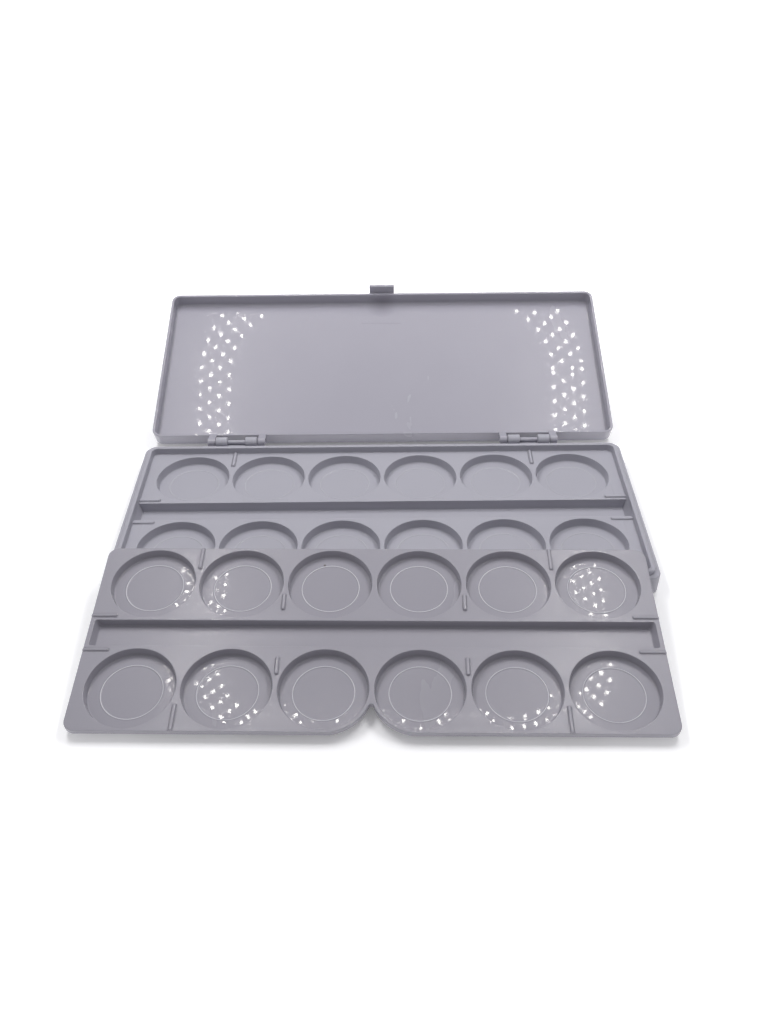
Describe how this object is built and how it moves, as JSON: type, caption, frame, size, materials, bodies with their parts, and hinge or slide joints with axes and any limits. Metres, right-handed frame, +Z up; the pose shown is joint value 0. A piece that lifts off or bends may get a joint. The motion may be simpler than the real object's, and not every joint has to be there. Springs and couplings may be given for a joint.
{
  "type": "watercolour mixing palette",
  "caption": "Hinged plastic watercolour box with two rows of round paint wells, a brush trough, a lid that folds right back and a lift-out tray with matching wells.",
  "frame": {"origin": "centre of the flat underside that the box stands on", "axes": "+X along the rows of wells, +Y from the front edge to the hinges, +Z up"},
  "size_m": [0.2196, 0.2616, 0.042],
  "materials": {
    "box_plastic": "gloss injection-moulded polystyrene, light grey with a faint lavender tint",
    "lid_plastic": "high gloss injection-moulded polystyrene, light grey with a faint lavender tint",
    "tray_plastic": "gloss injection-moulded polystyrene, light grey with a faint lavender tint",
    "pin_plastic": "smooth moulded rod"
  },
  "bodies": {
    "box": {"box_base": "box_plastic", "hinge_pin_left": "pin_plastic", "hinge_pin_right": "pin_plastic"},
    "lid": {"lid": "lid_plastic"},
    "tray": {"insert_tray": "tray_plastic"}
  },
  "joints": [
    {"name": "lid_hinge", "type": "hinge", "parent": "box", "child": "lid", "pos_m": [0, 0.0505, 0.0073], "axis": [1, 0, 0], "range_deg": [0, 161]},
    {"name": "tray_lift", "type": "slide", "parent": "box", "child": "tray", "axis": [0, -0.9397, 0.342], "range_m": [0, 0.06]}
  ],
  "couplings": [
    {"joint": "tray_lift", "follows": "lid_hinge", "m_per_rad": 0.0213}
  ]
}
